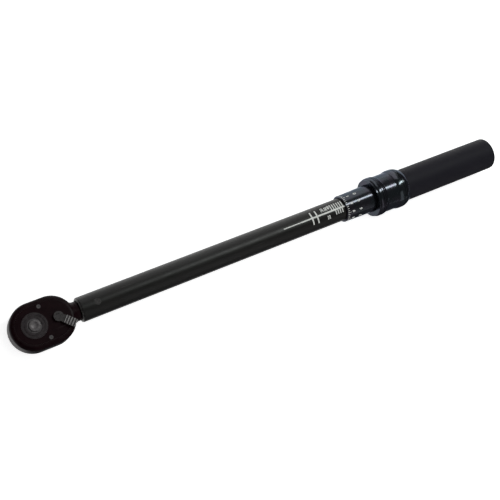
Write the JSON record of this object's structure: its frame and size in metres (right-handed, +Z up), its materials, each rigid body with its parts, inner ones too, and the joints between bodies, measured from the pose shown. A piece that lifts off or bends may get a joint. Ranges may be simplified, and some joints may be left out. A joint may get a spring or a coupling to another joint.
{
  "type": "click torque wrench",
  "caption": "Micrometer click torque wrench with a reversible round ratchet head, a square drive, a sprung lock ring and a screw-adjusted grip.",
  "frame": {"origin": "centre of the end face of the square drive", "axes": "+Z up along the drive's axis through the release button, +X along the tube to the grip, +Y across the head"},
  "size_m": [0.522, 0.0416, 0.0419],
  "materials": {
    "black_tube": "satin black oxide",
    "black_head": "satin black, forged",
    "black_plate": "satin black",
    "black_gear": "black oxide, turned",
    "black_lever": "black, worn on its ridges",
    "button_steel": "bare steel, turned",
    "gloss_black": "gloss black plating",
    "grip_rubber": "smooth matte",
    "bright_plug": "turned, satin",
    "dark_steel": "black oxide",
    "bright_steel": "ground",
    "spring_steel": "oil tempered"
  },
  "bodies": {
    "tube": {"body_tube": "black_tube", "pivot_pin": "dark_steel", "adjusting_nut": "bright_steel", "nut_pins": "bright_steel", "main_spring": "spring_steel"},
    "head": {"head_housing": "black_head", "cover_plate": "black_plate", "cover_screws": "dark_steel", "gear_washer": "bright_steel"},
    "drive": {"drive_gear": "black_gear", "button_snap_ring": "dark_steel", "release_spring": "spring_steel"},
    "button": {"release_button": "button_steel", "release_rod": "bright_steel"},
    "ball": {"retaining_ball": "bright_steel"},
    "lever": {"reversing_lever": "black_lever", "lever_shaft": "dark_steel", "detent_ball": "bright_steel", "detent_spring": "spring_steel"},
    "pawl": {"pawl": "dark_steel"},
    "block": {"tilting_block": "bright_steel"},
    "plunger": {"plunger": "bright_steel"},
    "adjuster": {"spring_seat": "bright_steel", "thrust_balls": "bright_steel"},
    "grip": {"thimble": "gloss_black", "thimble_screws": "dark_steel", "grip_core": "dark_steel", "grip_sleeve": "grip_rubber", "load_screw": "bright_steel", "screw_lock_nut": "bright_steel", "end_plug": "bright_plug", "thrust_washer": "bright_steel", "lock_balls": "bright_steel", "spring_stop": "dark_steel", "lock_spring": "spring_steel"},
    "lock_ring": {"lock_ring": "gloss_black", "lock_ring_clip": "spring_steel"}
  },
  "joints": [
    {"name": "head_click", "type": "hinge", "parent": "tube", "child": "head", "pos_m": [0.0568, 0, 0.0224], "axis": [0, 0, 1], "range_deg": [0, 3], "stiffness_Nm_per_rad": 10, "springref_deg": -1.15},
    {"name": "drive_turn", "type": "hinge", "parent": "head", "child": "drive", "pos_m": [0, 0, 0.0224], "axis": [0, 0, 1], "continuous": true},
    {"name": "button_press", "type": "slide", "parent": "drive", "child": "button", "axis": [0, 0, -1], "range_m": [0, 0.0025], "stiffness_N_per_m": 400, "springref_m": -0.003, "deforming": ["release_spring"]},
    {"name": "ball_retract", "type": "slide", "parent": "drive", "child": "ball", "axis": [-1, 0, 0], "range_m": [0, 0.0007]},
    {"name": "lever_turn", "type": "hinge", "parent": "head", "child": "lever", "pos_m": [0.021, 0, 0.0224], "axis": [0, 0, 1], "range_deg": [0, 90]},
    {"name": "pawl_shift", "type": "hinge", "parent": "head", "child": "pawl", "pos_m": [0, 0, 0.0224], "axis": [0, 0, 1], "range_deg": [0, 12]},
    {"name": "plunger_slide", "type": "slide", "parent": "tube", "child": "plunger", "axis": [1, 0, 0], "range_m": [0, 0.001]},
    {"name": "block_tilt", "type": "hinge", "parent": "plunger", "child": "block", "pos_m": [0.107, 0, 0.0224], "axis": [0, 0, 1], "range_deg": [-19, 0]},
    {"name": "adjust_slide", "type": "slide", "parent": "tube", "child": "adjuster", "axis": [-1, 0, 0], "range_m": [-0.0025, 0.0325], "deforming": ["main_spring"]},
    {"name": "grip_turn", "type": "hinge", "parent": "adjuster", "child": "grip", "pos_m": [0.4, 0, 0.0224], "axis": [-1, 0, 0], "range_deg": [-360, 4680]},
    {"name": "lock_pull", "type": "slide", "parent": "grip", "child": "lock_ring", "axis": [1, 0, 0], "range_m": [0, 0.004], "stiffness_N_per_m": 500, "springref_m": -0.004, "deforming": ["lock_spring"]}
  ],
  "couplings": [
    {"joint": "ball_retract", "follows": "button_press", "ratio": 0.28},
    {"joint": "pawl_shift", "follows": "lever_turn", "ratio": 0.13333},
    {"joint": "plunger_slide", "follows": "head_click", "m_per_rad": 0.019},
    {"joint": "block_tilt", "follows": "head_click", "ratio": -6.28},
    {"joint": "adjust_slide", "follows": "grip_turn", "m_per_rad": 0.00039789}
  ]
}
